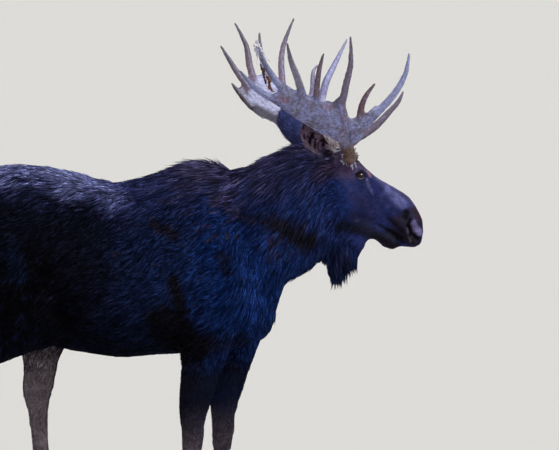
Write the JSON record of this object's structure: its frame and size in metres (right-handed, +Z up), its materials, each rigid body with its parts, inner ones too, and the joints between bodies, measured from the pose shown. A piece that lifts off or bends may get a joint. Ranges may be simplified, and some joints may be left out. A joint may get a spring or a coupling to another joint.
{
  "type": "moose",
  "caption": "Bull moose standing with head raised and turned a little, wide tined antlers and a throat bell; still life-size animal figure.",
  "frame": {"origin": "middle of the footprint of the whole animal's bounding box, on the floor under the hooves", "axes": "+X forward the way the trunk faces, +Y to the animal's left, +Z up"},
  "size_m": [2.2992, 1.0856, 2.5015],
  "materials": {
    "dark_hide": "matte",
    "face_hide": "matte",
    "leg_hide": "matte",
    "antler": "matte",
    "hoof_horn": "satin",
    "eye": "gloss"
  },
  "bodies": {
    "root": {"trunk": "dark_hide", "tail": "dark_hide", "neck": "dark_hide", "head": "face_hide", "bell": "dark_hide", "eye_left": "eye", "ear_left": "face_hide", "antler_left_beam": "antler", "antler_left_palm": "antler", "antler_left_brow": "antler", "eye_right": "eye", "ear_right": "face_hide", "antler_right_beam": "antler", "antler_right_palm": "antler", "antler_right_brow": "antler", "leg_front_left_upper": "dark_hide", "leg_front_left_lower": "leg_hide", "hoof_front_left_inner": "hoof_horn", "dewclaw_front_left_inner": "hoof_horn", "hoof_front_left_outer": "hoof_horn", "dewclaw_front_left_outer": "hoof_horn", "leg_front_right_upper": "dark_hide", "leg_front_right_lower": "leg_hide", "hoof_front_right_inner": "hoof_horn", "dewclaw_front_right_inner": "hoof_horn", "hoof_front_right_outer": "hoof_horn", "dewclaw_front_right_outer": "hoof_horn", "leg_hind_left_upper": "dark_hide", "leg_hind_left_lower": "leg_hide", "hoof_hind_left_inner": "hoof_horn", "dewclaw_hind_left_inner": "hoof_horn", "hoof_hind_left_outer": "hoof_horn", "dewclaw_hind_left_outer": "hoof_horn", "leg_hind_right_upper": "dark_hide", "leg_hind_right_lower": "leg_hide", "hoof_hind_right_inner": "hoof_horn", "dewclaw_hind_right_inner": "hoof_horn", "hoof_hind_right_outer": "hoof_horn", "dewclaw_hind_right_outer": "hoof_horn"}
  },
  "joints": []
}
